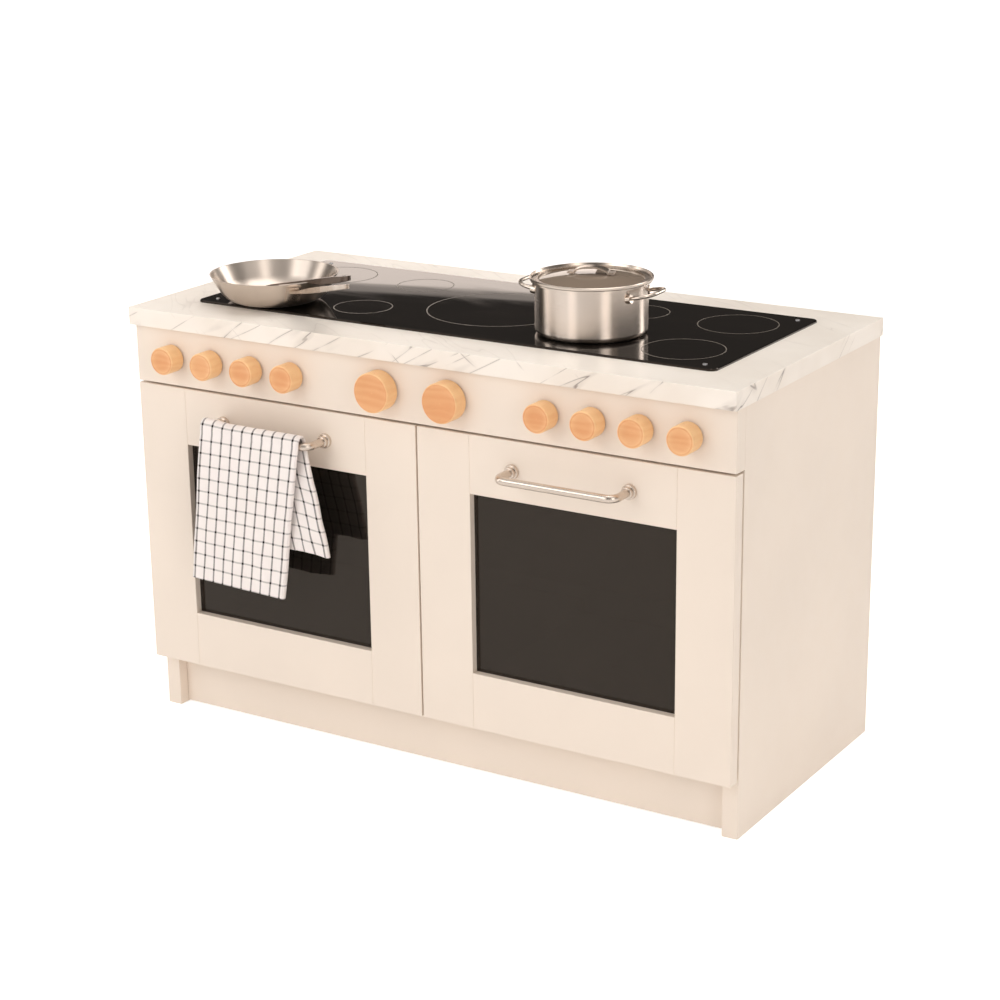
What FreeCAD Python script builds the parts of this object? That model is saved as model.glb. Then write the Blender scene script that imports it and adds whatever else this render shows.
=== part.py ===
"""Toy range kitchen: a child-height double-oven cabinet with a hob, ten knobs, a pot, a pan and a towel.

Units are millimetres. +X is to the right of someone facing the oven doors, +Y points from the doors to the
back, and +Z is up. Everything is drawn with Y = 0 on the front face of the doors. The finished pieces are
then moved along Y, so that the origin is at the centre of the whole object's footprint on the floor.
"""
import FreeCAD, Part
import math
import os

Vec = FreeCAD.Vector

# ---- Cabinet ----
WIDTH = 900.0               # outside of one side panel to the outside of the other
BACK_Y = 417.0              # rear face of the carcass
BOARD = 22.0                # side panels and control fascia
INNER_BOARD = 18.0          # base, oven roof, divider, plinth, rails and shelves
BACK_BOARD = 6.0
CARCASS_Y = 22.0            # front edges of the carcass, behind the doors
EDGE_ROUND = 0.8            # softened edges of the painted boards
WORKTOP_BOTTOM = 557.5
WORKTOP_THICK = 24.0
WORKTOP_SIDE_OVERHANG = 3.0
WORKTOP_FRONT_OVERHANG = 10.0
BASE_BOTTOM = 79.0          # underside of the base panel, level with the doors' lower edge
OVEN_ROOF_TOP = 479.0
PLINTH_Y = 38.0
PLINTH_LIFT = 2.0           # the cabinet stands on its side panels only
SHELF_TOP = 274.0
SHELF_FRONT_Y = 76.0
SHELF_GAP = 1.0
FRONT_RAIL_DEPTH = 40.0
FRONT_RAIL_HEIGHT = 22.0
REAR_RAIL_HEIGHT = 60.0

# ---- Joinery ----
DOWEL_R = 4.0
DOWEL_IN_SIDE = 12.0
DOWEL_IN_BOARD = 20.0
DOWEL_YS = (70.0, 360.0)    # in the base and in the oven roof
SHELF_PIN_R = 2.5
SHELF_PIN_IN = 8.0
SHELF_PIN_OUT = 9.0
SHELF_PIN_YS = (112.0, 370.0)
SCREW_R = 2.0
SCREW_HEAD_R = 4.0
SCREW_HEAD = 2.4
DIVIDER_SCREW_YS = (90.0, 340.0)
DIVIDER_SCREW_IN = 25.0     # how far each screw goes into the divider
FASCIA_SCREW_XS = (-350.0, -120.0, 120.0, 350.0)
FASCIA_SCREW_IN = 14.0

# ---- Oven doors ----
DOOR_BOARD = 18.0
DOOR_BOTTOM = 79.0
DOOR_TOP = 476.0
DOOR_GAP_HALF = 1.25        # from the cabinet's centre line to a door's edge
DOOR_MEMBER = 78.0          # width of the stiles and of the rails
WINDOW_BOTTOM = 156.0
WINDOW_TOP = 398.0
REBATE = 6.0
REBATE_Y = 10.0             # how far the window is set back
WINDOW_THICK = 3.0
BEAD_THICK = 4.5
BEAD_WIDTH = 8.0
MITRE_GAP = 0.1

# ---- Door handles ----
HANDLE_U = 225.0            # distance of the handle's middle from the cabinet's centre line
HANDLE_Z = 436.5
HANDLE_CENTRES = 166.0
HANDLE_STANDOFF = 40.0
HANDLE_BAR_R = 5.2
HANDLE_BEND_R = 13.0
ROSE_STEPS = ((9.8, 5.0), (7.6, 10.0))      # (radius, depth) of the base disc and of the collar
ROSE_ROUND = 1.5
HANDLE_SCREW_DEPTH = 8.0
HANDLE_SCREW_HEAD = 2.0

# ---- Door hinges ----
HINGE_Y = 20.0
HINGE_Z = 76.0
HINGE_US = (80.0, 370.0)
HINGE_LENGTH = 50.0
KNUCKLE_R = 3.0
HINGE_PIN_R = 1.5
RUNNING_GAP = 0.05
KNUCKLE_SPLIT = 12.7        # length of each fixed knuckle
KNUCKLE_GAP = 0.3
LEAF = 1.2
LEAF_CLEAR_Z = 79.4         # the flat of each leaf starts above the knuckles
DOOR_LEAF_TOP = 111.0
LEAF_SCREW_R = 1.5
LEAF_SCREW_DEPTH = 12.0
LEAF_SCREW_OFFSETS = (-15.0, 15.0)
DOOR_LEAF_SCREW_Z = 98.0
BASE_LEAF_SCREW_Z = 88.0
HINGE_PIN_HEAD_R = 2.3
HINGE_PIN_HEAD = 0.8

# ---- Door catches and bumpers ----
CATCH_Z = 455.0
CATCH_HALF_WIDTH = 23.0
CATCH_HALF_HEIGHT = 6.0
CATCH_Y = 20.2
CATCH_DEPTH = 18.0
STRIKE_R = 6.0
STRIKE_THICK = 1.6
BUMPER_R = 5.0
BUMPER_THICK = 3.8
BUMPER_ZS = (112.0, 444.0)

# ---- Knobs ----
KNOB_Z = 517.0
SMALL_KNOB_XS = (191.5, 257.0, 322.5, 388.0)
LARGE_KNOB_X = 51.4
SMALL_KNOB_R = 18.5
LARGE_KNOB_R = 26.0
SMALL_KNOB_DEPTH = 26.0     # from the fascia to the front of the rim
LARGE_KNOB_DEPTH = 24.5
KNOB_STANDOFF = 2.5
KNOB_EDGE = 2.2
KNOB_DISH = 3.0             # depth of the hollow in the knob's face
KNOB_RIM_FLAT = 1.0         # flat ring between the rounded rim and the hollow
KNOB_BORE_SPARE = 1.0       # space past the spindle's tip
SPINDLE_R = 4.0
SPINDLE_FLANGE_R = 9.0
SPINDLE_FLANGE = 2.0
SPINDLE_TIP_Y = -12.0
SPINDLE_TIP_TAPER = 1.0
SPINDLE_BEAD_R = 4.5
SPINDLE_BEAD_Y = -9.5
SPINDLE_BEAD_HALF = 0.9

# ---- Hob ----
HOB_HALF_WIDTH = 390.0
HOB_FRONT_Y = 58.0
HOB_BACK_Y = 356.0
HOB_THICK = 3.0
HOB_CORNER_R = 10.0
HOB_BEVEL = 1.0
HOB_SCREW_X = 368.0
HOB_SCREW_YS = (76.0, 337.0)
HOB_SCREW_R = 1.6
HOB_SCREW_HEAD_R = 2.8
HOB_SCREW_HEAD = 1.1
HOB_SCREW_LENGTH = 15.0

# ---- Pot and lid ----
POT_CENTRE = (166.0, 157.0)
POT_R = 72.0
POT_HEIGHT = 68.0
POT_WALL = 1.4
POT_FLOOR = 3.0
POT_FOOT_ROUND = 7.0
POT_LIP_R = 77.0
POT_LIP = 1.6
POT_TURN = 3.0              # degrees; the line through the two loop handles
LOOP_WIRE_R = 2.35
LOOP_HALF_SPAN = 29.0
LOOP_REACH = 97.0
LOOP_BEND_R = 19.0
LOOP_TILT = 11.0            # degrees that each loop rises outwards
LOOP_BELOW_RIM = 14.0
LOOP_FLANGE_R = 6.0
LOOP_FLANGE = 3.5
LOOP_ROOT = 3.0             # each leg starts this far inside the wall and is trimmed to it
LID_R = 78.5
LID_GLASS_R = 67.5
LID_SKIRT_R = 69.9
LID_SKIRT = 5.0
LID_LEDGE = 1.6             # thickness of the ledge under the glass
LID_LEDGE_WIDTH = 3.0
LID_FLANGE = 1.4
LID_BEAD_WIDTH = 3.2
LID_BEAD = 4.4
LID_BEAD_CHAMFER = 1.0
LID_GLASS = 3.0
LID_RISE = 7.0
STRAP_TURN = 18.0
STRAP_HALF_SPAN = 30.0
STRAP_ARCH_HALF = 21.0
STRAP_ARCH_HEIGHT = 7.0
STRAP_THICK = 2.2
STRAP_WIDTH = 14.0
STRAP_BOLT_AT = 26.0
STRAP_BOLT_R = 2.0
STRAP_NUT_R = 4.0
STRAP_NUT = 2.5
STRAP_NUT_GAP = 1.0         # the flat nut stands clear of the sloping glass
STRAP_FOOT_GAP = 0.5        # the feet stand clear of the dome

# ---- Frying pan ----
PAN_CENTRE = (-297.0, 109.5)
PAN_BASE_R = 46.0
PAN_RIM_R = 86.5
PAN_HEIGHT = 37.5
PAN_WALL = 1.8
PAN_WALL_SLOPE = math.radians(60)   # the straight part of the wall, measured from level
PAN_TURN = -35.0            # degrees; the handle's direction
PAN_BRACKET = 2.4
PAN_BRACKET_HALF_WIDTH = 10.0
PAN_BRACKET_ZS = (12.0, 33.0)
PAN_HANDLE_PROFILE = (              # (radius, height of the underside, thickness)
    (80.0, 24.5, 3.0),
    (103.0, 29.0, 3.0),
    (165.0, 42.0, 7.0),
    (225.0, 56.0, 7.5),
    (281.0, 70.5, 5.0),
)
PAN_HANDLE_NECK_END = 149.0         # the bar starts to widen here
PAN_HANDLE_WIDE_FROM = 221.0
PAN_HANDLE_NECK = 13.0
PAN_HANDLE_WIDTH = 22.0
PAN_HANDLE_HOLE_R = 4.0
PAN_HANDLE_HOLE_INSET = 13.0

# ---- Turner lying in the pan ----
TURNER_TURN = -22.0
TURNER_PROFILE = (          # (radius, height of the underside, thickness), in its own upright plane
    (-45.0, 3.0, 2.0),
    (-4.0, 18.6, 2.0),
    (88.0, 39.4, 2.6),
    (122.0, 42.5, 7.6),
    (165.0, 51.2, 8.8),
    (184.0, 57.0, 6.0),
)
TURNER_BLADE_WIDTH = 34.0
TURNER_NECK_WIDTH = 8.0
TURNER_HANDLE_WIDTH = 16.0
TURNER_TIP_TAPER = 2.0
TURNER_TIP_LENGTH = 4.0
TURNER_SHOULDER = 12.0      # from the full blade to the neck
TURNER_SHOULDER_TAPER = 1.0
TURNER_NECK_LENGTH = 80.0
TURNER_GRIP_LENGTH = 50.0
TURNER_HOLE_R = 3.0
TURNER_HOLE_INSET = 9.0
PLAN_SPARE = 1.0            # a plan outline starts this far before the strip that it trims

# ---- Towel over the left door's handle ----
TOWEL_THICK = 5.0
TOWEL_BAR_GAP = 0.4
TOWEL_ARCH_X = (-294.0, -155.5)         # over the straight part of the bar
TOWEL_FRONT_TOP_X = (-306.0, -150.0)
TOWEL_BACK_TOP_X = TOWEL_ARCH_X
TOWEL_FRONT_BOTTOM_X = (-335.0, -183.0)
TOWEL_FRONT_BOTTOM_Z = 227.0
TOWEL_BACK_BOTTOM_X = (-270.0, -118.0)
TOWEL_BACK_BOTTOM_Z = 284.0

# ---- Worked out from the above ----
HALF = WIDTH / 2
INNER_X = HALF - BOARD
WORKTOP_TOP = WORKTOP_BOTTOM + WORKTOP_THICK
HOB_TOP = WORKTOP_TOP + HOB_THICK
BASE_TOP = BASE_BOTTOM + INNER_BOARD
OVEN_ROOF_BOTTOM = OVEN_ROOF_TOP - INNER_BOARD
INNER_BACK_Y = BACK_Y - BACK_BOARD
HANDLE_Y = -HANDLE_STANDOFF
POT_RIM_Z = HOB_TOP + POT_HEIGHT
FRONT_RAIL_Z = WORKTOP_BOTTOM - FRONT_RAIL_HEIGHT
REAR_RAIL_Y = INNER_BACK_Y - INNER_BOARD
CUTTER_HEIGHT = 2 * PAN_RIM_R       # taller than anything that is trimmed to a plan outline
SIDES = {"left": -1, "right": 1}


# ---- Helpers ----
def block(x0, x1, y0, y1, z0, z1):
    """A box between two corners, given in any order along X."""
    low, high = min(x0, x1), max(x0, x1)
    return Part.makeBox(high - low, y1 - y0, z1 - z0, Vec(low, y0, z0))


def board(x0, x1, y0, y1, z0, z1, radius=EDGE_ROUND):
    """A box with every edge softened, as on a painted board."""
    solid = block(x0, x1, y0, y1, z0, z1)
    return solid.makeFillet(radius, solid.Edges)


def rod(radius, start, end):
    """A cylinder from one point to another."""
    along = end - start
    return Part.makeCylinder(radius, along.Length, start, along)


def revolved(edges):
    """A solid of revolution about a vertical axis, from a closed run of edges in the plane Y = 0."""
    return Part.Face(Part.Wire(edges)).revolve(Vec(0, 0, 0), Vec(0, 0, 1), 360)


def turned(points, centre=(0.0, 0.0), z=0.0):
    """A solid of revolution about a vertical axis, from (radius, height) points."""
    outline = Part.makePolygon([Vec(r, 0, h) for r, h in points + [points[0]]])
    solid = Part.Face(outline).revolve(Vec(0, 0, 0), Vec(0, 0, 1), 360)
    solid.translate(Vec(centre[0], centre[1], z))
    return solid


def tube(points, bend_radius, radius):
    """A round bar along straight runs joined by tangent arcs."""
    edges = []
    start = points[0]
    for before, corner, after in zip(points, points[1:], points[2:]):
        towards = (before - corner).normalize()
        away = (after - corner).normalize()
        half_turn = (math.pi - towards.getAngle(away)) / 2
        reach = bend_radius * math.tan(half_turn)
        first = corner + towards * reach
        last = corner + away * reach
        middle_direction = (towards + away).normalize()
        middle = corner + middle_direction * (bend_radius / math.cos(half_turn) - bend_radius)
        edges.append(Part.LineSegment(start, first).toShape())
        edges.append(Part.Arc(first, middle, last).toShape())
        start = last
    edges.append(Part.LineSegment(start, points[-1]).toShape())
    path = Part.Wire(edges)
    ring = Part.Wire(Part.Circle(points[0], points[1] - points[0], radius).toShape())
    return path.makePipeShell([ring], True, False)


def countersunk(start, end):
    """A wood screw: its head's flat face is at start and its point at end."""
    along = (end - start).normalize()
    head = Part.makeCone(SCREW_HEAD_R, SCREW_R, SCREW_HEAD, start, along)
    shank = rod(SCREW_R, start, end)
    return head.fuse(shank).removeSplitter()


def extruded_outline(points, half_width):
    """A prism with an (x, z) outline, centred on the plane Y = 0."""
    outline = Part.makePolygon([Vec(x, -half_width, z) for x, z in points + [points[0]]])
    return Part.Face(outline).extrude(Vec(0, 2 * half_width, 0))


def stood_at(shape, centre, turn, z):
    """The shape turned about the vertical axis and set down at a place on the hob."""
    moved = shape.copy()
    moved.rotate(Vec(0, 0, 0), Vec(0, 0, 1), turn)
    moved.translate(Vec(centre[0], centre[1], z))
    return moved


def group(solids):
    return Part.makeCompound(solids)


def without(shape, tools):
    """The shape with each tool's space removed."""
    for tool in tools:
        shape = shape.cut(tool)
    return shape


# ---- Joinery ----
def dowel_places():
    """(y, z) of each dowel in a side panel: base, oven roof, plinth, front rail and rear rail."""
    base_z = BASE_BOTTOM + INNER_BOARD / 2
    roof_z = OVEN_ROOF_TOP - INNER_BOARD / 2
    plinth_y = PLINTH_Y + INNER_BOARD / 2
    front_y = CARCASS_Y + FRONT_RAIL_DEPTH / 2
    rear_y = REAR_RAIL_Y + INNER_BOARD / 2
    return [
        (DOWEL_YS[0], base_z),
        (DOWEL_YS[1], base_z),
        (DOWEL_YS[0], roof_z),
        (DOWEL_YS[1], roof_z),
        (plinth_y, BASE_BOTTOM / 2),
        (front_y, FRONT_RAIL_Z + FRONT_RAIL_HEIGHT / 2),
        (rear_y, WORKTOP_BOTTOM - REAR_RAIL_HEIGHT / 2),
    ]


def carcass_dowels():
    pegs = []
    for side in SIDES.values():
        for y, z in dowel_places():
            outer = Vec(side * (INNER_X + DOWEL_IN_SIDE), y, z)
            inner = Vec(side * (INNER_X - DOWEL_IN_BOARD), y, z)
            pegs.append(rod(DOWEL_R, outer, inner))
    return pegs


def shelf_pins():
    """Pegs under both shelves, in the side panels and in the two faces of the divider."""
    z = SHELF_TOP - INNER_BOARD - SHELF_PIN_R
    pegs = []
    for side in SIDES.values():
        for y in SHELF_PIN_YS:
            for wall_x, into in ((INNER_X, 1), (INNER_BOARD / 2, -1)):
                buried = Vec(side * (wall_x + into * SHELF_PIN_IN), y, z)
                shown = Vec(side * (wall_x - into * SHELF_PIN_OUT), y, z)
                pegs.append(rod(SHELF_PIN_R, buried, shown))
    return pegs


def carcass_screws():
    """Countersunk screws into the divider and into the control fascia."""
    screws = []
    for y in DIVIDER_SCREW_YS:
        screws.append(countersunk(Vec(0, y, BASE_BOTTOM), Vec(0, y, BASE_TOP + DIVIDER_SCREW_IN)))
        screws.append(countersunk(Vec(0, y, OVEN_ROOF_TOP), Vec(0, y, OVEN_ROOF_BOTTOM - DIVIDER_SCREW_IN)))
    rail_back = CARCASS_Y + FRONT_RAIL_DEPTH
    z = FRONT_RAIL_Z + FRONT_RAIL_HEIGHT / 2
    for x in FASCIA_SCREW_XS:
        screws.append(countersunk(Vec(x, rail_back, z), Vec(x, CARCASS_Y - FASCIA_SCREW_IN, z)))
    return screws


def leaf_screws(side, y_face, y_step, z):
    """Small screws through a hinge leaf; y_step is the direction in which they are driven."""
    screws = []
    for middle in HINGE_US:
        for offset in LEAF_SCREW_OFFSETS:
            start = Vec(side * (middle + offset), y_face, z)
            screws.append(rod(LEAF_SCREW_R, start, start + Vec(0, y_step * LEAF_SCREW_DEPTH, 0)))
    return screws


# ---- Carcass ----
def side_panel(side, holes):
    panel = board(side * INNER_X, side * HALF, CARCASS_Y, BACK_Y, 0, WORKTOP_BOTTOM)
    return without(panel, holes)


def cross_boards(holes):
    """The boards that run between the side panels."""
    across = (-INNER_X, INNER_X)
    plain = {
        "base_panel": block(*across, CARCASS_Y, INNER_BACK_Y, BASE_BOTTOM, BASE_TOP),
        "oven_roof_panel": block(*across, CARCASS_Y, INNER_BACK_Y, OVEN_ROOF_BOTTOM, OVEN_ROOF_TOP),
        "plinth": board(*across, PLINTH_Y, PLINTH_Y + INNER_BOARD, PLINTH_LIFT, BASE_BOTTOM),
        "front_top_rail": block(
            *across, CARCASS_Y, CARCASS_Y + FRONT_RAIL_DEPTH, FRONT_RAIL_Z, WORKTOP_BOTTOM
        ),
        "rear_top_rail": block(
            *across, REAR_RAIL_Y, INNER_BACK_Y, WORKTOP_BOTTOM - REAR_RAIL_HEIGHT, WORKTOP_BOTTOM
        ),
        "back_panel": block(*across, INNER_BACK_Y, BACK_Y, BASE_BOTTOM, WORKTOP_BOTTOM),
        "centre_divider": block(
            -INNER_BOARD / 2, INNER_BOARD / 2, CARCASS_Y, INNER_BACK_Y, BASE_TOP, OVEN_ROOF_BOTTOM
        ),
    }
    return {name: without(solid, holes) for name, solid in plain.items()}


def oven_shelf(side):
    inner = side * (INNER_BOARD / 2 + SHELF_GAP)
    outer = side * (INNER_X - SHELF_GAP)
    return board(inner, outer, SHELF_FRONT_Y, INNER_BACK_Y - SHELF_GAP, SHELF_TOP - INNER_BOARD, SHELF_TOP)


def worktop(holes):
    reach = HALF + WORKTOP_SIDE_OVERHANG
    slab = board(-reach, reach, -WORKTOP_FRONT_OVERHANG, BACK_Y, WORKTOP_BOTTOM, WORKTOP_TOP)
    return without(slab, holes)


def hob_screws():
    screws = []
    for x in (-HOB_SCREW_X, HOB_SCREW_X):
        for y in HOB_SCREW_YS:
            top = Vec(x, y, HOB_TOP)
            shank = rod(HOB_SCREW_R, top, top - Vec(0, 0, HOB_SCREW_LENGTH))
            head = rod(HOB_SCREW_HEAD_R, top, top + Vec(0, 0, HOB_SCREW_HEAD))
            rim = [edge for edge in head.Edges if edge.BoundBox.ZMin > HOB_TOP + HOB_SCREW_HEAD / 2]
            head = head.makeFillet(HOB_SCREW_HEAD / 2, rim[:1])
            screws.append(head.fuse(shank).removeSplitter())
    return screws


def hob_glass(holes):
    """A flat black plate with rounded corners and a bevel round its top edge."""
    plate = block(-HOB_HALF_WIDTH, HOB_HALF_WIDTH, HOB_FRONT_Y, HOB_BACK_Y, WORKTOP_TOP, HOB_TOP)
    upright = [edge for edge in plate.Edges if edge.BoundBox.ZLength > HOB_THICK / 2]
    plate = plate.makeFillet(HOB_CORNER_R, upright)
    top_edges = [edge for edge in plate.Edges if edge.BoundBox.ZMin > HOB_TOP - HOB_THICK / 2]
    plate = plate.makeChamfer(HOB_BEVEL, top_edges)
    return without(plate, holes)


# ---- Knobs ----
def knob_places():
    """(x, radius, depth) of every knob, from left to right."""
    small = [(x, SMALL_KNOB_R, SMALL_KNOB_DEPTH) for x in SMALL_KNOB_XS]
    left = [(-x, radius, depth) for x, radius, depth in reversed(small)]
    large = [(x, LARGE_KNOB_R, LARGE_KNOB_DEPTH) for x in (-LARGE_KNOB_X, LARGE_KNOB_X)]
    return left + large + small


def turned_forward(edges):
    """A solid turned about the Y axis from an outline in the plane X >= 0, Z = 0."""
    return Part.Face(Part.Wire(edges)).revolve(Vec(0, 0, 0), Vec(0, 1, 0), 360)


def line(start, end):
    return Part.LineSegment(Vec(*start, 0), Vec(*end, 0)).toShape()


def arc(start, middle, end):
    return Part.Arc(Vec(*start, 0), Vec(*middle, 0), Vec(*end, 0)).toShape()


def knob(x, radius, depth):
    """A turned wooden knob with a rounded rim and a dished face, bored from behind for its spindle."""
    back, front = -KNOB_STANDOFF, -depth
    bend = KNOB_EDGE * (1 - math.sqrt(0.5))
    flat = radius - KNOB_EDGE - KNOB_RIM_FLAT
    bore = SPINDLE_R + RUNNING_GAP
    groove = SPINDLE_BEAD_R + RUNNING_GAP
    groove_back = SPINDLE_BEAD_Y + SPINDLE_BEAD_HALF + KNUCKLE_GAP
    groove_front = SPINDLE_BEAD_Y - SPINDLE_BEAD_HALF - KNUCKLE_GAP
    bore_end = SPINDLE_TIP_Y - KNOB_BORE_SPARE
    dish_r = (flat**2 + KNOB_DISH**2) / (2 * KNOB_DISH)
    half = flat / 2
    half_y = front + KNOB_DISH - (dish_r - math.sqrt(dish_r**2 - half**2))
    edges = [
        line((bore, back), (radius, back)),
        line((radius, back), (radius, front + KNOB_EDGE)),
        arc((radius, front + KNOB_EDGE), (radius - bend, front + bend), (radius - KNOB_EDGE, front)),
        line((radius - KNOB_EDGE, front), (flat, front)),
        arc((flat, front), (half, half_y), (0, front + KNOB_DISH)),
        line((0, front + KNOB_DISH), (0, bore_end)),
        line((0, bore_end), (bore, bore_end)),
        line((bore, bore_end), (bore, groove_front)),
        line((bore, groove_front), (groove, groove_front)),
        line((groove, groove_front), (groove, groove_back)),
        line((groove, groove_back), (bore, groove_back)),
        line((bore, groove_back), (bore, back)),
    ]
    solid = turned_forward(edges)
    solid.translate(Vec(x, 0, KNOB_Z))
    return solid


def knob_spindle(x):
    """A snap-in spindle fixed in the fascia, with a flange behind it and a bead that holds the knob."""
    flange_back = CARCASS_Y + SPINDLE_FLANGE
    bead_back = SPINDLE_BEAD_Y + SPINDLE_BEAD_HALF
    bead_front = SPINDLE_BEAD_Y - SPINDLE_BEAD_HALF
    corners = [
        (0, flange_back),
        (SPINDLE_FLANGE_R, flange_back),
        (SPINDLE_FLANGE_R, CARCASS_Y),
        (SPINDLE_R, CARCASS_Y),
        (SPINDLE_R, bead_back),
        (SPINDLE_BEAD_R, SPINDLE_BEAD_Y),
        (SPINDLE_R, bead_front),
        (SPINDLE_R - SPINDLE_TIP_TAPER, SPINDLE_TIP_Y),
        (0, SPINDLE_TIP_Y),
    ]
    closed = corners + [corners[0]]
    solid = turned_forward([line(a, b) for a, b in zip(closed, closed[1:])])
    solid.translate(Vec(x, 0, KNOB_Z))
    return solid


def control_fascia(holes):
    panel = board(-HALF, HALF, 0, CARCASS_Y, OVEN_ROOF_TOP, WORKTOP_BOTTOM)
    return without(panel, holes)


# ---- Doors ----
def door_span(side, near, far):
    """X limits of something between two distances from the cabinet's centre line."""
    return side * near, side * far


def door_window_rebate(side):
    """The stepped space behind the window opening that holds the window and its beads."""
    near = DOOR_GAP_HALF + DOOR_MEMBER - REBATE
    far = HALF - DOOR_MEMBER + REBATE
    return block(
        *door_span(side, near, far), REBATE_Y, DOOR_BOARD, WINDOW_BOTTOM - REBATE, WINDOW_TOP + REBATE
    )


def door_frame(side, tools):
    """Two stiles that run the full height, with two rails between them."""
    inner = (DOOR_GAP_HALF, DOOR_GAP_HALF + DOOR_MEMBER)
    outer = (HALF - DOOR_MEMBER, HALF)
    between = (inner[1], outer[0])
    members = {
        "inner_stile": (inner, (DOOR_BOTTOM, DOOR_TOP)),
        "outer_stile": (outer, (DOOR_BOTTOM, DOOR_TOP)),
        "bottom_rail": (between, (DOOR_BOTTOM, WINDOW_BOTTOM)),
        "top_rail": (between, (WINDOW_TOP, DOOR_TOP)),
    }
    pieces = {}
    for name, (span, heights) in members.items():
        solid = board(*door_span(side, *span), 0, DOOR_BOARD, *heights)
        pieces[name] = without(solid, tools)
    return pieces


def door_window(side):
    near = DOOR_GAP_HALF + DOOR_MEMBER - REBATE + MITRE_GAP
    far = HALF - DOOR_MEMBER + REBATE - MITRE_GAP
    return block(
        *door_span(side, near, far),
        REBATE_Y,
        REBATE_Y + WINDOW_THICK,
        WINDOW_BOTTOM - REBATE + MITRE_GAP,
        WINDOW_TOP + REBATE - MITRE_GAP,
    )


def door_window_beads(side):
    """Four strips behind the window: two upright ones, and two between them."""
    near = DOOR_GAP_HALF + DOOR_MEMBER - REBATE + MITRE_GAP
    far = HALF - DOOR_MEMBER + REBATE - MITRE_GAP
    low = WINDOW_BOTTOM - REBATE + MITRE_GAP
    high = WINDOW_TOP + REBATE - MITRE_GAP
    front = REBATE_Y + WINDOW_THICK
    back = front + BEAD_THICK
    between = (near + BEAD_WIDTH, far - BEAD_WIDTH)
    return group([
        block(*door_span(side, near, near + BEAD_WIDTH), front, back, low, high),
        block(*door_span(side, far - BEAD_WIDTH, far), front, back, low, high),
        block(*door_span(side, *between), front, back, low, low + BEAD_WIDTH),
        block(*door_span(side, *between), front, back, high - BEAD_WIDTH, high),
    ])


def door_handle(side, holes):
    """A bent bar with a round, stepped rose at each end."""
    middle = side * HANDLE_U
    left = middle - HANDLE_CENTRES / 2
    right = middle + HANDLE_CENTRES / 2
    path = [
        Vec(left, 0, HANDLE_Z),
        Vec(left, HANDLE_Y, HANDLE_Z),
        Vec(right, HANDLE_Y, HANDLE_Z),
        Vec(right, 0, HANDLE_Z),
    ]
    handle = tube(path, HANDLE_BEND_R, HANDLE_BAR_R)
    for x in (left, right):
        for radius, depth in ROSE_STEPS:
            disc = rod(radius, Vec(x, 0, HANDLE_Z), Vec(x, -depth, HANDLE_Z))
            front_edges = [edge for edge in disc.Edges if edge.BoundBox.YMax < -depth / 2]
            handle = handle.fuse(disc.makeFillet(ROSE_ROUND, front_edges[:1]))
    return without(handle.removeSplitter(), holes)


def door_screws(side):
    """Handle screws, hinge-leaf screws and the flat-headed strike screw that the magnet holds."""
    screws = []
    for x in (side * HANDLE_U - HANDLE_CENTRES / 2, side * HANDLE_U + HANDLE_CENTRES / 2):
        head_end = Vec(x, DOOR_BOARD + HANDLE_SCREW_HEAD, HANDLE_Z)
        head = rod(SCREW_HEAD_R, Vec(x, DOOR_BOARD, HANDLE_Z), head_end)
        shank = rod(SCREW_R, Vec(x, DOOR_BOARD, HANDLE_Z), Vec(x, -HANDLE_SCREW_DEPTH, HANDLE_Z))
        screws.append(head.fuse(shank).removeSplitter())
    strike_face = Vec(side * HANDLE_U, DOOR_BOARD, CATCH_Z)
    strike = rod(STRIKE_R, strike_face, strike_face + Vec(0, STRIKE_THICK, 0))
    stem = rod(SCREW_R, strike_face, strike_face - Vec(0, LEAF_SCREW_DEPTH, 0))
    screws.append(strike.fuse(stem).removeSplitter())
    return screws + leaf_screws(side, DOOR_BOARD + LEAF, -1, DOOR_LEAF_SCREW_Z)


def knuckle_spans(side, middle, moving):
    """X limits of one leaf's knuckles: the moving leaf has the middle one, the fixed leaf the outer two."""
    start = middle - HINGE_LENGTH / 2
    end = middle + HINGE_LENGTH / 2
    if moving:
        taken = KNUCKLE_SPLIT + KNUCKLE_GAP
        return [door_span(side, start + taken, end - taken)]
    return [door_span(side, start, start + KNUCKLE_SPLIT), door_span(side, end - KNUCKLE_SPLIT, end)]


def hinge_leaves(side, moving, holes):
    """The flat leaves of one door's hinges, with their knuckles, on the door or on the base panel."""
    y0 = DOOR_BOARD if moving else CARCASS_Y - LEAF
    top = DOOR_LEAF_TOP if moving else BASE_TOP
    bore_r = HINGE_PIN_R + RUNNING_GAP if moving else HINGE_PIN_R
    leaves = []
    for middle in HINGE_US:
        near, far = door_span(side, middle - HINGE_LENGTH / 2, middle + HINGE_LENGTH / 2)
        plate = block(near, far, y0, y0 + LEAF, LEAF_CLEAR_Z, top)
        for x0, x1 in knuckle_spans(side, middle, moving):
            tongue = block(x0, x1, y0, y0 + LEAF, HINGE_Z, LEAF_CLEAR_Z)
            barrel = rod(KNUCKLE_R, Vec(x0, HINGE_Y, HINGE_Z), Vec(x1, HINGE_Y, HINGE_Z))
            plate = plate.fuse([tongue, barrel])
        bore = rod(bore_r, Vec(near, HINGE_Y, HINGE_Z), Vec(far, HINGE_Y, HINGE_Z))
        leaves.append(without(plate.removeSplitter(), [bore] + holes))
    return leaves


def hinge_pins():
    pins = []
    for side in SIDES.values():
        for middle in HINGE_US:
            start = Vec(side * (middle - HINGE_LENGTH / 2), HINGE_Y, HINGE_Z)
            end = Vec(side * (middle + HINGE_LENGTH / 2), HINGE_Y, HINGE_Z)
            outward = (end - start).normalize()
            head = rod(HINGE_PIN_HEAD_R, end, end + outward * HINGE_PIN_HEAD)
            pins.append(rod(HINGE_PIN_R, start, end).fuse(head).removeSplitter())
    return pins


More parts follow.
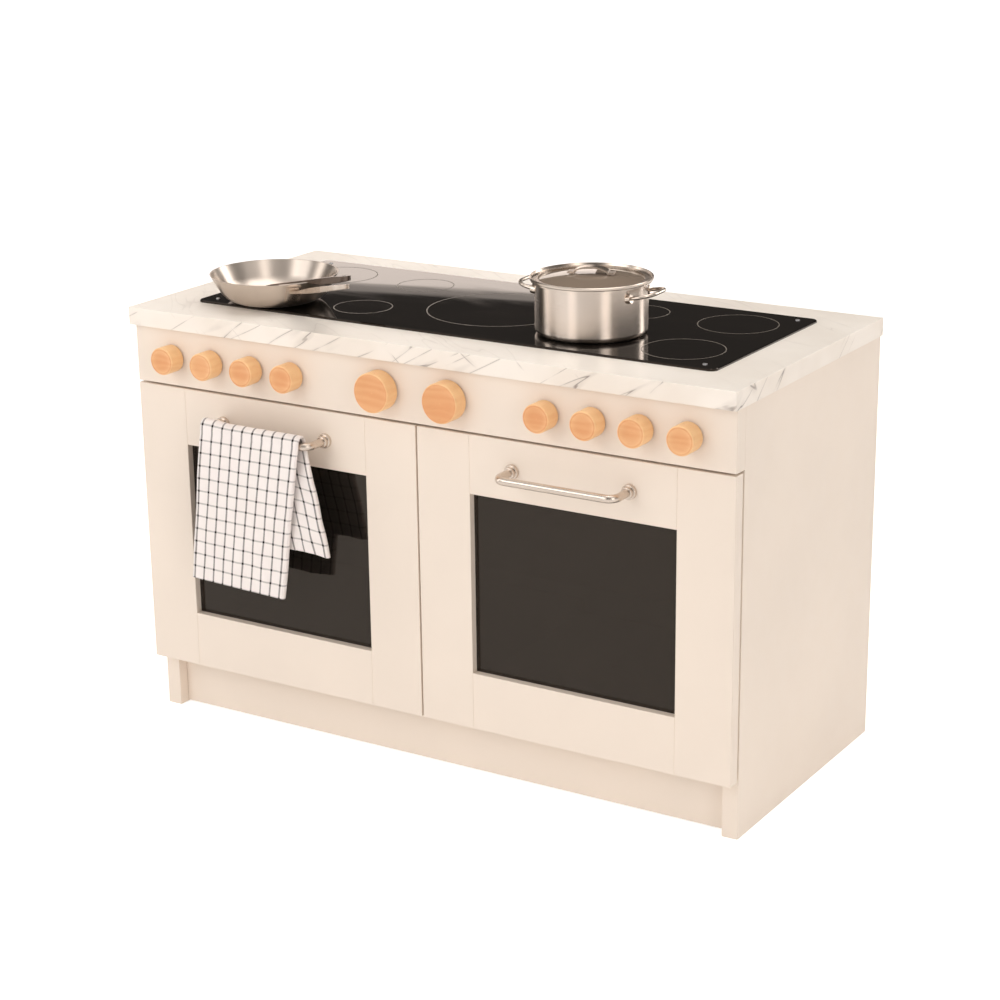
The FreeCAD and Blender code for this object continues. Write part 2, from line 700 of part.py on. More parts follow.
def magnetic_catches():
    """One plastic-cased magnet per door, under the oven roof's front edge."""
    cases = []
    for side in SIDES.values():
        x = side * HANDLE_U
        cases.append(board(
            x - CATCH_HALF_WIDTH,
            x + CATCH_HALF_WIDTH,
            CATCH_Y,
            CATCH_Y + CATCH_DEPTH,
            OVEN_ROOF_BOTTOM - 2 * CATCH_HALF_HEIGHT,
            OVEN_ROOF_BOTTOM,
        ))
    return cases


def door_bumpers():
    """Soft dots on the carcass edges that the closed doors rest against."""
    dots = []
    for x in (-HALF + BOARD / 2, 0.0, HALF - BOARD / 2):
        for z in BUMPER_ZS:
            dots.append(rod(BUMPER_R, Vec(x, CARCASS_Y, z), Vec(x, CARCASS_Y - BUMPER_THICK, z)))
    return dots


def door_parts(side_name):
    side = SIDES[side_name]
    screws = door_screws(side)
    tools = [door_window_rebate(side)] + screws
    parts = {
        "window": door_window(side),
        "window_beads": door_window_beads(side),
        "handle": door_handle(side, screws),
        "screws": group(screws),
        "hinge_leaves": group(hinge_leaves(side, True, screws)),
    }
    parts.update(door_frame(side, tools))
    return {side_name + "_door_" + name: shape for name, shape in parts.items()}


# ---- Pot and lid ----
def pot_body():
    """A straight-sided pot with a rounded foot and a thin lip round its rim."""
    inner_r = POT_R - POT_WALL
    solid = turned([
        (0, 0),
        (POT_R, 0),
        (POT_R, POT_HEIGHT - POT_LIP),
        (POT_LIP_R, POT_HEIGHT - POT_LIP),
        (POT_LIP_R, POT_HEIGHT),
        (inner_r, POT_HEIGHT),
        (inner_r, POT_FLOOR),
        (0, POT_FLOOR),
    ])
    foot = [edge for edge in solid.Edges if edge.BoundBox.ZMax < POT_FLOOR / 2 and edge.Length > POT_R]
    solid = solid.makeFillet(POT_FOOT_ROUND, foot)
    solid.translate(Vec(*POT_CENTRE, HOB_TOP))
    return solid


def pot_handles():
    """Two rising wire loops with a flange on each leg, trimmed to the pot's wall."""
    z = POT_HEIGHT - LOOP_BELOW_RIM
    wall = Part.makeCylinder(POT_R, POT_HEIGHT)
    loops = []
    for turn in (0.0, 180.0):
        wall_x = math.sqrt(POT_R**2 - LOOP_HALF_SPAN**2)
        start_x = wall_x - LOOP_ROOT
        path = [
            Vec(start_x, -LOOP_HALF_SPAN, z),
            Vec(LOOP_REACH - LOOP_WIRE_R, -LOOP_HALF_SPAN, z),
            Vec(LOOP_REACH - LOOP_WIRE_R, LOOP_HALF_SPAN, z),
            Vec(start_x, LOOP_HALF_SPAN, z),
        ]
        loop = tube(path, LOOP_BEND_R, LOOP_WIRE_R)
        for y in (-LOOP_HALF_SPAN, LOOP_HALF_SPAN):
            flange_end = Vec(wall_x + LOOP_FLANGE, y, z)
            loop = loop.fuse(rod(LOOP_FLANGE_R, Vec(start_x, y, z), flange_end))
        loop.rotate(Vec(wall_x, 0, z), Vec(0, 1, 0), -LOOP_TILT)
        loop = loop.cut(wall).removeSplitter()
        loops.append(stood_at(loop, POT_CENTRE, POT_TURN + turn, HOB_TOP))
    return loops


def lid_rim():
    """The steel ring round the glass: a flange on the pot's lip, an outer bead and a skirt inside."""
    ledge_r = LID_GLASS_R - LID_LEDGE_WIDTH
    cut = LID_BEAD_CHAMFER
    return turned([
        (LID_GLASS_R, LID_LEDGE - LID_SKIRT),
        (LID_GLASS_R, LID_FLANGE),
        (LID_R - LID_BEAD_WIDTH, LID_FLANGE),
        (LID_R - LID_BEAD_WIDTH + cut, LID_BEAD),
        (LID_R - cut, LID_BEAD),
        (LID_R, LID_BEAD - cut),
        (LID_R, cut),
        (LID_R - cut, 0),
        (LID_SKIRT_R, 0),
        (LID_SKIRT_R, -LID_SKIRT),
        (ledge_r, -LID_SKIRT),
        (ledge_r, LID_LEDGE - LID_SKIRT),
    ], POT_CENTRE, POT_RIM_Z)


def dome_radius():
    return (LID_GLASS_R**2 + LID_RISE**2) / (2 * LID_RISE)


def dome_height(distance):
    """Height of the glass's upper surface above the pot's rim, at a distance from the lid's middle."""
    radius = dome_radius()
    return LID_LEDGE - LID_SKIRT + LID_GLASS + LID_RISE - radius + math.sqrt(radius**2 - distance**2)


def lid_glass(holes):
    """A shallow dome of even thickness that sits on the rim's ledge."""
    radius = dome_radius()
    edge_z = LID_LEDGE - LID_SKIRT
    peak = edge_z + LID_RISE
    middle_r = LID_GLASS_R / 2
    drop = radius - math.sqrt(radius**2 - middle_r**2)

    def at(r, z):
        return Vec(r, 0, z)

    edges = [
        Part.Arc(at(LID_GLASS_R, edge_z), at(middle_r, peak - drop), at(0, peak)).toShape(),
        Part.LineSegment(at(0, peak), at(0, peak + LID_GLASS)).toShape(),
        Part.Arc(
            at(0, peak + LID_GLASS),
            at(middle_r, peak + LID_GLASS - drop),
            at(LID_GLASS_R, edge_z + LID_GLASS),
        ).toShape(),
        Part.LineSegment(at(LID_GLASS_R, edge_z + LID_GLASS), at(LID_GLASS_R, edge_z)).toShape(),
    ]
    glass = revolved(edges)
    glass.translate(Vec(*POT_CENTRE, POT_RIM_Z))
    return without(glass, holes)


def lid_handle_bolts():
    """The part of each strap bolt that passes through the glass, and its nut below."""
    bolts = []
    top = dome_height(0) + STRAP_FOOT_GAP
    under = dome_height(STRAP_BOLT_AT) - LID_GLASS
    for x in (-STRAP_BOLT_AT, STRAP_BOLT_AT):
        nut_top = Vec(x, 0, under - STRAP_NUT_GAP)
        nut_bottom = nut_top - Vec(0, 0, STRAP_NUT)
        shank = rod(STRAP_BOLT_R, Vec(x, 0, top), nut_bottom)
        nut = rod(STRAP_NUT_R, nut_top, nut_bottom)
        bolts.append(stood_at(shank.fuse(nut), POT_CENTRE, STRAP_TURN, POT_RIM_Z))
    return bolts


def lid_handle():
    """A steel strap with two flat feet and an arch between them, on two bolts."""
    foot = dome_height(0) + STRAP_FOOT_GAP
    outer_half = STRAP_ARCH_HALF + STRAP_THICK
    outer_height = STRAP_ARCH_HEIGHT + STRAP_THICK
    half_width = STRAP_WIDTH / 2

    def half_oval(half_span, height):
        oval = Part.Ellipse(Vec(0, 0, 0), half_span, height)
        face = Part.Face(Part.Wire(oval.toShape()))
        face.rotate(Vec(0, 0, 0), Vec(1, 0, 0), 90)
        face.translate(Vec(0, half_width, foot))
        return face.extrude(Vec(0, -STRAP_WIDTH, 0))

    feet = block(-STRAP_HALF_SPAN, STRAP_HALF_SPAN, -half_width, half_width, foot, foot + STRAP_THICK)
    strap = feet.fuse(half_oval(outer_half, outer_height)).cut(half_oval(STRAP_ARCH_HALF, STRAP_ARCH_HEIGHT))
    keep = block(-STRAP_HALF_SPAN, STRAP_HALF_SPAN, -half_width, half_width, foot, foot + outer_height)
    strap = stood_at(strap.common(keep), POT_CENTRE, STRAP_TURN, POT_RIM_Z)
    return strap.fuse(lid_handle_bolts()).removeSplitter()


# ---- Frying pan and turner ----
def pan_foot_radius():
    """Radius of the rounded foot that joins the flat base to the sloping wall."""
    across = PAN_RIM_R - PAN_BASE_R
    slope = PAN_WALL_SLOPE
    return (across * math.sin(slope) - PAN_HEIGHT * math.cos(slope)) / (1 - math.cos(slope))


def pan_profile(offset):
    """Three edges from the pan's axis to its rim, moved outwards by an offset, and the rim's point."""
    radius = pan_foot_radius() + offset

    def on_foot(angle):
        return Vec(PAN_BASE_R + radius * math.sin(angle), 0, pan_foot_radius() - radius * math.cos(angle))

    rim = Vec(PAN_RIM_R + offset / math.sin(PAN_WALL_SLOPE), 0, PAN_HEIGHT)
    edges = [
        Part.LineSegment(Vec(0, 0, -offset), on_foot(0)).toShape(),
        Part.Arc(on_foot(0), on_foot(PAN_WALL_SLOPE / 2), on_foot(PAN_WALL_SLOPE)).toShape(),
        Part.LineSegment(on_foot(PAN_WALL_SLOPE), rim).toShape(),
    ]
    return edges, rim


def filled_pan(offset):
    """The pan's outer shape, filled to its rim and moved outwards by an offset."""
    edges, rim = pan_profile(offset)
    top = Vec(0, 0, PAN_HEIGHT)
    edges.append(Part.LineSegment(rim, top).toShape())
    edges.append(Part.LineSegment(top, Vec(0, 0, -offset)).toShape())
    return revolved(edges)


def pan_body():
    """A shallow pan with a rounded foot and a sloping wall of even thickness."""
    outer, outer_rim = pan_profile(0)
    inner, inner_rim = pan_profile(-PAN_WALL)
    rim = Part.LineSegment(outer_rim, inner_rim).toShape()
    axis = Part.LineSegment(Vec(0, 0, PAN_WALL), Vec(0, 0, 0)).toShape()
    solid = revolved(outer + [rim] + inner[::-1] + [axis])
    solid.translate(Vec(*PAN_CENTRE, HOB_TOP))
    return solid


def plan_cutter(points, end):
    """A tall prism over a plan outline of (distance, half width) points, finished with a half-round end."""
    end_half = points[-1][1]
    middle = end - end_half
    outline = points + [(middle, end_half)]
    far_side = [(x, -half) for x, half in reversed(outline)]
    corners = [Vec(x, half, 0) for x, half in outline + far_side]
    prism = Part.Face(Part.makePolygon(corners + [corners[0]])).extrude(Vec(0, 0, CUTTER_HEIGHT))
    return prism.fuse(Part.makeCylinder(end_half, CUTTER_HEIGHT, Vec(middle, 0, 0)))


def side_strip(profile, half_width):
    """A bent strip from (distance, height of the underside, thickness) stations."""
    under = [(x, z) for x, z, thickness in profile]
    upper = [(x, z + thickness) for x, z, thickness in reversed(profile)]
    return extruded_outline(under + upper, half_width)


def pan_handle():
    """A long rising steel bar with a hanging hole, on a curved bracket that follows the pan's wall."""
    wall = filled_pan(0)
    skin = filled_pan(PAN_BRACKET)
    patch = block(PAN_BASE_R, PAN_RIM_R, -PAN_BRACKET_HALF_WIDTH, PAN_BRACKET_HALF_WIDTH, *PAN_BRACKET_ZS)
    half_width = PAN_HANDLE_WIDTH / 2
    half_neck = PAN_HANDLE_NECK / 2
    strip = side_strip(PAN_HANDLE_PROFILE, half_width)
    end_x = PAN_HANDLE_PROFILE[-1][0]
    plan = [
        (PAN_HANDLE_PROFILE[0][0] - PLAN_SPARE, half_neck),
        (PAN_HANDLE_NECK_END, half_neck),
        (PAN_HANDLE_WIDE_FROM, half_width),
    ]
    strip = strip.common(plan_cutter(plan, end_x))
    hole_x = end_x - PAN_HANDLE_HOLE_INSET
    hole = rod(PAN_HANDLE_HOLE_R, Vec(hole_x, 0, 0), Vec(hole_x, 0, CUTTER_HEIGHT))
    handle = strip.fuse(skin.common(patch)).cut(wall).cut(hole).removeSplitter()
    return stood_at(handle, PAN_CENTRE, PAN_TURN, HOB_TOP)


def turner():
    """A dark steel turner whose blade lies on the pan's floor and whose handle crosses the rim."""
    half_blade = TURNER_BLADE_WIDTH / 2
    half_neck = TURNER_NECK_WIDTH / 2
    half_handle = TURNER_HANDLE_WIDTH / 2
    tip_x = TURNER_PROFILE[0][0]
    neck_x = TURNER_PROFILE[1][0]
    end_x = TURNER_PROFILE[-1][0]
    strip = side_strip(TURNER_PROFILE, half_blade)
    plan = [
        (tip_x - PLAN_SPARE, half_blade - TURNER_TIP_TAPER),
        (tip_x + TURNER_TIP_LENGTH, half_blade),
        (neck_x - TURNER_SHOULDER, half_blade - TURNER_SHOULDER_TAPER),
        (neck_x, half_neck),
        (neck_x + TURNER_NECK_LENGTH, half_neck),
        (end_x - TURNER_GRIP_LENGTH, half_handle),
    ]
    hole_x = end_x - TURNER_HOLE_INSET
    hole = rod(TURNER_HOLE_R, Vec(hole_x, 0, 0), Vec(hole_x, 0, CUTTER_HEIGHT))
    blade = strip.common(plan_cutter(plan, end_x)).cut(hole)
    return stood_at(blade, PAN_CENTRE, TURNER_TURN, HOB_TOP)


# ---- Towel ----
def towel():
    """A closed solid where the folded cloth hangs: an arch over the bar, a front fall and a shorter back."""
    inner_r = HANDLE_BAR_R + TOWEL_BAR_GAP
    outer_r = inner_r + TOWEL_THICK
    left, right = TOWEL_ARCH_X
    start = Vec(left, HANDLE_Y, HANDLE_Z)
    end = Vec(right, HANDLE_Y, HANDLE_Z)
    arch = rod(outer_r, start, end).cut(rod(inner_r, start, end))
    upper_half = block(left, right, HANDLE_Y - outer_r, HANDLE_Y + outer_r, HANDLE_Z, HANDLE_Z + outer_r)

    def fall(y, top_x, bottom_x, bottom_z):
        corners = [
            Vec(top_x[0], y, HANDLE_Z),
            Vec(top_x[1], y, HANDLE_Z),
            Vec(bottom_x[1], y, bottom_z),
            Vec(bottom_x[0], y, bottom_z),
        ]
        return Part.Face(Part.makePolygon(corners + [corners[0]])).extrude(Vec(0, TOWEL_THICK, 0))

    front = fall(HANDLE_Y - outer_r, TOWEL_FRONT_TOP_X, TOWEL_FRONT_BOTTOM_X, TOWEL_FRONT_BOTTOM_Z)
    back = fall(HANDLE_Y + inner_r, TOWEL_BACK_TOP_X, TOWEL_BACK_BOTTOM_X, TOWEL_BACK_BOTTOM_Z)
    return arch.common(upper_half).fuse([front, back]).removeSplitter()


# ---- Whole object ----
def carcass_parts():
    dowels = carcass_dowels()
    pins = shelf_pins()
    screws = carcass_screws()
    spindles = [knob_spindle(x) for x, radius, depth in knob_places()]
    plate_screws = hob_screws()
    fixed_leaf_screws = [
        screw
        for side in SIDES.values()
        for screw in leaf_screws(side, CARCASS_Y - LEAF, 1, BASE_LEAF_SCREW_Z)
    ]
    screws = screws + fixed_leaf_screws
    fixed_leaves = [
        leaf for side in SIDES.values() for leaf in hinge_leaves(side, False, fixed_leaf_screws)
    ]
    parts = {
        "side_panel_left": side_panel(-1, dowels + pins),
        "side_panel_right": side_panel(1, dowels + pins),
        "oven_shelf_left": oven_shelf(-1),
        "oven_shelf_right": oven_shelf(1),
        "worktop": worktop(plate_screws),
        "hob_glass": hob_glass(plate_screws),
        "hob_screws": group(plate_screws),
        "control_fascia": control_fascia(spindles + screws),
        "knob_spindles": group(spindles),
        "carcass_dowels": group(dowels),
        "carcass_screws": group(screws),
        "shelf_pins": group(pins),
        "hinge_base_leaves": group(fixed_leaves),
        "hinge_pins": group(hinge_pins()),
        "magnetic_catches": group(magnetic_catches()),
        "door_bumpers": group(door_bumpers()),
    }
    parts.update(cross_boards(dowels + pins + screws))
    return parts


def all_parts():
    parts = carcass_parts()
    for side_name in SIDES:
        parts.update(door_parts(side_name))
    for number, (x, radius, depth) in enumerate(knob_places(), start=1):
        parts["knob_%02d" % number] = knob(x, radius, depth)
    parts.update({
        "pot_body": pot_body(),
        "pot_handles": group(pot_handles()),
        "lid_rim": lid_rim(),
        "lid_glass": lid_glass(lid_handle_bolts()),
        "lid_handle": lid_handle(),
        "pan_body": pan_body(),
        "pan_handle": pan_handle(),
        "turner": turner(),
        "towel": towel(),
    })
    return parts


def main():
    os.makedirs("parts", exist_ok=True)
    parts = all_parts()
    whole = group(list(parts.values())).optimalBoundingBox(False)
    to_origin = Vec(0, -(whole.YMin + whole.YMax) / 2, 0)
    print("door front face is at y =", round(to_origin.y, 3))
    for name, shape in sorted(parts.items()):
        shape.translate(to_origin)
        if not shape.isValid() or not shape.Solids:
            print("check", name)
        shape.exportStep("parts/" + name + ".step")
    print(len(parts), "nodes")


main()
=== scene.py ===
"""Looks of the toy kitchen: materials, the printed hob rings, the towel, a plain studio and a camera.

Units are metres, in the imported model's own frame: +X right, +Y to the back, +Z up, origin on the floor.
"""
import math

import bmesh
import bpy
from mathutils import Matrix, Vector, noise

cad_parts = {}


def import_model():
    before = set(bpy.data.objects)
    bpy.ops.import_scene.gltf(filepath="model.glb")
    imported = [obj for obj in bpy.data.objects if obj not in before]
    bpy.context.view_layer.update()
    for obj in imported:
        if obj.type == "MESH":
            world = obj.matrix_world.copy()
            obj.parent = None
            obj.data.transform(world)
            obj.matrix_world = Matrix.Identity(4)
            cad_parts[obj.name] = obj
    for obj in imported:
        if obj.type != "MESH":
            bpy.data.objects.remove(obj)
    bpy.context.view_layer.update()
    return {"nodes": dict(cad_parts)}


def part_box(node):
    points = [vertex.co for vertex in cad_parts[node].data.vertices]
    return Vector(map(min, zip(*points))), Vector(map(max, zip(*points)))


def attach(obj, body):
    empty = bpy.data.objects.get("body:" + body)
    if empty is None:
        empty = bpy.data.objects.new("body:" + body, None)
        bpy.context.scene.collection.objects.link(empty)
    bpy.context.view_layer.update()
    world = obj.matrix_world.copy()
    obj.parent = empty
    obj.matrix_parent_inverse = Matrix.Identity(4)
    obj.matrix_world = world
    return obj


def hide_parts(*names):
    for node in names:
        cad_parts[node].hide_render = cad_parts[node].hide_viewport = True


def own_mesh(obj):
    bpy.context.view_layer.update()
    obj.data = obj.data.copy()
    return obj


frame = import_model()
NODES = frame["nodes"]

# ---- Camera ----
CAMERA_AZIMUTH = math.radians(31.63)
CAMERA_ELEVATION = math.radians(18.31)
CAMERA_ROLL = math.radians(-0.64)
CAMERA_PLACE = (1.6159, -2.5706, 1.2887)
CAMERA_LENS = 85.35
CAMERA_SENSOR = 36.0
CAMERA_SHIFT = (-0.0138, 0.0309)

# ---- Hob rings: (across and back from the hob's own middle, radius) ----
RING_WIDTH = 0.0014
RING_LIFT = 0.00012             # half the print's thickness, above and below the hob's surface
MIDDLE_RING = (0.0, -0.001, 0.097)
INNER_RINGS = [(x, y, 0.039) for x in (-0.168, 0.168) for y in (-0.076, 0.0745)]
OUTER_RINGS = [(x, y, 0.052) for x in (-0.311, 0.311) for y in (-0.076, 0.074)]
RING_STEPS = 160

# ---- Floor ----
FLOOR_HALF = 12.0
FLOOR_GLOW = 0.18
FLOOR_GLOW_SEEN = 0.55          # for the camera alone

# ---- World (angles in degrees from +X towards +Y, heights as sines of the elevation) ----
BAND_TURNS = (119.2, 151.6)     # between these angles the low band's top slopes down
BAND_TOPS = (0.2237, 0.1838)    # the top's heights there, and beyond them on either side
BAND_BLUR = 0.0005              # half the soft edge's height
DIM_EDGE = 0.0034               # height of the dimmer strip along the band's top
DIM_LEVEL = 0.32                # and its share of the band's strength
BAND_GAP = (96.0, 119.2)        # no band between these angles
BAND_BEHIND = (121.6, 30.0)     # middle and half width of the band's brighter stretch, behind the kitchen
BAND_STRENGTH = 0.45            # all round
BAND_EXTRA = 1.48               # more than that in the brighter stretch
BAND_TONE = (1.0, 0.875, 0.79, 1.0)     # towards the brighter stretch
WORLD_TONE = (1.0, 0.96, 0.92, 1.0)     # elsewhere
WALL_STRENGTH = 0.062           # the dim wall, which shows above the band and in the gap
PANELS = (                      # (middle, half width, strength) of the tall panels
    (-161.0, 7.0, 2.5),
    (-99.0, 8.0, 1.8),
    (-32.0, 9.0, 2.4),
    (62.0, 6.5, 5.2),
)
SIDE_FADE = (0.4, 1.6)          # shares of a half width between which a panel's or the stretch's side fades
PANEL_FADE = (0.55, 0.85)       # heights between which the panels fade out
CEILING_FADE = (0.5, 0.8)       # heights between which the ceiling's light fades in
CEILING_STRENGTH = 0.6
WHITE = (1.0, 1.0, 1.0, 1.0)

# ---- Lights: name, place, size, power, tone ----
LIGHTS = (
    ("key", (-1.6, -3.0, 2.2), (2.2, 1.8), 31, (1.0, 0.99, 0.98)),
    ("fill", (3.2, -1.2, 1.6), (1.6, 2.0), 2.5, (1.0, 0.82, 0.68)),
    ("top", (0.2, 0.4, 3.2), (2.4, 2.0), 27, (1.0, 0.97, 0.94)),
)
LIGHTS_AIM = (0.0, 0.0, 0.35)

# ---- Towel (folded once lengthwise, so the cloth is twice as wide as a layer) ----
BAR_RADIUS = 0.0052
LAYER_WIDTH = 0.156
TOP_EDGES = (-0.3085, -0.1490)          # left and right edges of the folded towel over the bar
FRONT_EDGES = (-0.3345, -0.1815)        # at the front hem
BACK_EDGES = (-0.2700, -0.1145)         # at the back hem
EDGE_CURVE = 0.9                        # below 1, the edges lean most near the bar
FRONT_DROP = 0.2060                     # from the bar's middle line to the front hem, at its left corner
BACK_DROP = 0.1465                      # and to the back hem
HEM_SAG = 0.0055                        # how much lower the front hem's right corner hangs
CLOTH_THICKNESS = 0.0007
ARCH_REACH = 0.0095                     # from the bar's middle line out to the outer layer
ARCH_RISE = 0.0145                      # and up to it
ARCH_CURVE = 0.8                        # below 1, the arch has fuller shoulders than an oval
BUNCH_REACH = 0.0165                    # how much further back the left end reaches, over the handle's bend
BUNCH_RISE = 0.0030                     # and how much higher it stands
BUNCH_ENDS = 3.2                        # the bunch dies out over 1 / 3.2 of the width
BUNCH_FADES = 3.0                       # and behind the bar over a third of the fall
FOLD_RADIUS = 0.0014                    # of the lengthwise fold, over the bar
FOLD_OPENING = 0.0024                   # how much wider it is on the falls
FOLD_OPENS = 3.0                        # all of it by a third of the way down
INNER_SHIFT = 0.0035                    # the inner layer's hem shows this far below the outer one's
INNER_EASE = 4.0                        # in full from a quarter of the width past the fold
RIPPLES = (                             # (per metre across, per fall, the noise's own slice, depth)
    (42.0, 3.0, 7.0, 0.0020),
    (120.0, 9.0, 3.0, 0.0006),
)
INNER_RIPPLE = (60.0, 5.0, 1.0, 0.0012)
RIPPLE_AT_BAR = 0.25                    # the ripples' share of their depth over the bar
RIPPLE_GROWS = 2.2                      # all of it from 1 / 2.2 of a fall
ARCH_LENGTH = math.pi * (ARCH_REACH + ARCH_RISE) / 2
TOWEL_LENGTH = FRONT_DROP + ARCH_LENGTH + BACK_DROP
ACROSS_STEPS = 128
ALONG_STEPS = 200

# ---- Towel's check (a pair gives the lines along the cloth, then those across it) ----
CHECK_PITCH = (0.0159, 0.0178)
CHECK_LINE = (0.0022, 0.0018)
CHECK_DARKNESS = (0.76, 0.44)
CHECK_DOT = 0.0026                      # the dark square where two lines cross
CHECK_START = 0.0035                    # from the cloth's left edge to the first line along it
LINE_SOFTNESS = 0.0004
DOT_SOFTNESS = 0.0005
LINE_WOBBLE = 0.0005
WEAVE_SIZE = 0.00085
YARNS_PER_METRE = 900.0


# ---- Objects ----
def new_object(name, data):
    """An object for the data, linked into the scene."""
    piece = bpy.data.objects.new(name, data)
    bpy.context.scene.collection.objects.link(piece)
    return piece


def apply_modifiers(piece):
    """Bakes the piece's modifiers into its own mesh."""
    bpy.context.view_layer.update()
    evaluated = piece.evaluated_get(bpy.context.evaluated_depsgraph_get())
    made = bpy.data.meshes.new_from_object(evaluated)
    piece.modifiers.clear()
    piece.data = made


# ---- Material helpers ----
def new_material(name):
    """An empty material's node tree with its shader, ready for add()."""
    material = bpy.data.materials.new(name)
    material.use_nodes = True
    tree = material.node_tree
    return material, tree, tree.nodes["Principled BSDF"]


def add(tree, kind, inputs=None, **settings):
    """A node whose inputs are plain values or other nodes' outputs."""
    made = tree.nodes.new(kind)
    for name, value in settings.items():
        setattr(made, name, value)
    connect(tree, made, inputs or {})
    return made


def connect(tree, made, inputs):
    """Sets a node's inputs, each from a plain value or another node's output."""
    for name, value in inputs.items():
        if isinstance(value, bpy.types.NodeSocket):
            tree.links.new(value, made.inputs[name])
        else:
            made.inputs[name].default_value = value


def maths(tree, operation, first, second=0.0):
    return add(tree, "ShaderNodeMath", {0: first, 1: second}, operation=operation).outputs[0]


def remap(tree, value, low, high, to_low, to_high, smooth=True):
    """The value's range low..high carried to to_low..to_high, and held at its ends."""
    made = add(
        tree,
        "ShaderNodeMapRange",
        {"Value": value, "From Min": low, "From Max": high, "To Min": to_low, "To Max": to_high},
        interpolation_type="SMOOTHSTEP" if smooth else "LINEAR",
    )
    return made.outputs["Result"]


def blend_colours(tree, factor, first, second):
    made = add(tree, "ShaderNodeMix", {0: factor, 6: first, 7: second}, data_type="RGBA")
    return made.outputs[2]


def place(tree):
    """The point's own coordinates on the piece, in metres, which move with it."""
    return add(tree, "ShaderNodeTexCoord").outputs["Object"]


def facing(tree, axis):
    """How far the surface faces along one of the piece's own axes, from -1 to 1."""
    normal = add(tree, "ShaderNodeTexCoord").outputs["Normal"]
    return add(tree, "ShaderNodeSeparateXYZ", {"Vector": normal}).outputs[axis]


def stretched(tree, vector, scale):
    made = add(tree, "ShaderNodeVectorMath", {0: vector, 1: scale}, operation="MULTIPLY")
    return made.outputs[0]


def noise_at(tree, vector, scale, detail=3.0, distortion=0.0):
    inputs = {"Vector": vector, "Scale": scale, "Detail": detail, "Distortion": distortion}
    return add(tree, "ShaderNodeTexNoise", inputs).outputs["Fac"]


def uneven(tree, vector, scale, low, high):
    """A noise whose usual range, 0.3 to 0.7, is carried to low..high."""
    return remap(tree, noise_at(tree, vector, scale), 0.3, 0.7, low, high)


def bump(tree, height, distance, strength):
    inputs = {"Height": height, "Distance": distance, "Strength": strength}
    return add(tree, "ShaderNodeBump", inputs).outputs["Normal"]


def colour(red, green, blue):
    """An sRGB colour out of 255 as the linear colour that a shader takes, by the sRGB standard's curve."""
    parts = []
    for value in (red, green, blue):
        share = value / 255
        parts.append(share / 12.92 if share <= 0.04045 else ((share + 0.055) / 1.055) ** 2.4)
    return (*parts, 1.0)


def darker(tone, share):
    """The tone at a share of its brightness."""
    return (*[value * share for value in tone[:3]], 1.0)


# ---- Materials ----
def paint(name, tone, roughness):
    """Sprayed satin paint on board: a fine orange peel, and a faint unevenness of tone and gloss."""
    material, tree, shader = new_material(name)
    at = place(tree)
    broad = uneven(tree, at, 5.0, 0.0, 1.0)
    peel = noise_at(tree, at, 420.0, detail=2.0)
    connect(tree, shader, {
        "Base Color": blend_colours(tree, broad, darker(tone, 0.965), tone),
        "Roughness": uneven(tree, at, 38.0, roughness - 0.05, roughness + 0.06),
        "Normal": bump(tree, peel, 0.00006, 0.5),
    })
    return material


def vein_family(tree, at, lean, closeness, thin):
    """Slanting vein lines, square to the lean vector. A larger closeness packs them tighter."""
    slope = add(tree, "ShaderNodeVectorMath", {0: at, 1: lean}, operation="DOT_PRODUCT").outputs["Value"]
    drift = stretched(tree, at, (3.5, 3.5, 3.5))
    split = add(tree, "ShaderNodeSeparateXYZ", {"Vector": drift})
    line_space = add(tree, "ShaderNodeCombineXYZ", {
        "X": maths(tree, "MULTIPLY", slope, closeness),
        "Y": split.outputs["X"],
        "Z": split.outputs["Y"],
    }).outputs[0]
    field = noise_at(tree, line_space, 1.0, detail=2.0, distortion=0.35)
    from_middle = maths(tree, "ABSOLUTE", maths(tree, "SUBTRACT", field, 0.5))
    line = remap(tree, from_middle, 0.0, thin, 1.0, 0.0)
    # a wider and fainter edge round each line
    halo = remap(tree, from_middle, 0.0, thin * 4.5, 0.22, 0.0)
    return maths(tree, "MAXIMUM", line, halo)


def marble():
    """Pale marble-pattern laminate: short slanting grey veins, strong on the edges and faint on the top."""
    material, tree, shader = new_material("marble_laminate")
    at = place(tree)
    rising = vein_family(tree, at, (-0.55, -0.75, 1.0), 26.0, 0.011)
    falling = vein_family(tree, at, (0.9, 0.8, 1.0), 17.0, 0.009)
    # each family shows only in its own patches, which breaks its lines into strokes
    patches = remap(tree, noise_at(tree, at, 16.0), 0.40, 0.56, 0.0, 1.0)
    others = remap(tree, noise_at(tree, at, 11.0), 0.54, 0.62, 0.0, 0.9)
    veins = maths(
        tree,
        "MAXIMUM",
        maths(tree, "MULTIPLY", rising, patches),
        maths(tree, "MULTIPLY", falling, others),
    )
    on_top = remap(tree, facing(tree, "Z"), 0.3, 0.8, 0.0, 1.0)
    strength = remap(tree, on_top, 0.0, 1.0, 0.85, 0.16, smooth=False)
    cloudy = remap(tree, noise_at(tree, at, 7.0), 0.35, 0.65, 0.0, 1.0)
    # painted light: the top's tone is painted a little lighter than the edges', for the light that falls on
    # it from above
    edge_tone = blend_colours(tree, cloudy, colour(240, 229, 217), colour(248, 239, 229))
    painted_lit_top_tone = blend_colours(tree, cloudy, colour(244, 236, 226), colour(251, 244, 235))
    tone = blend_colours(tree, on_top, edge_tone, painted_lit_top_tone)
    grey = maths(tree, "MULTIPLY", veins, strength)
    connect(tree, shader, {
        "Base Color": blend_colours(tree, grey, tone, colour(134, 118, 110)),
        "Roughness": uneven(tree, at, 60.0, 0.32, 0.42),
        "Normal": bump(tree, noise_at(tree, at, 900.0), 0.00003, 0.4),
    })
    return material


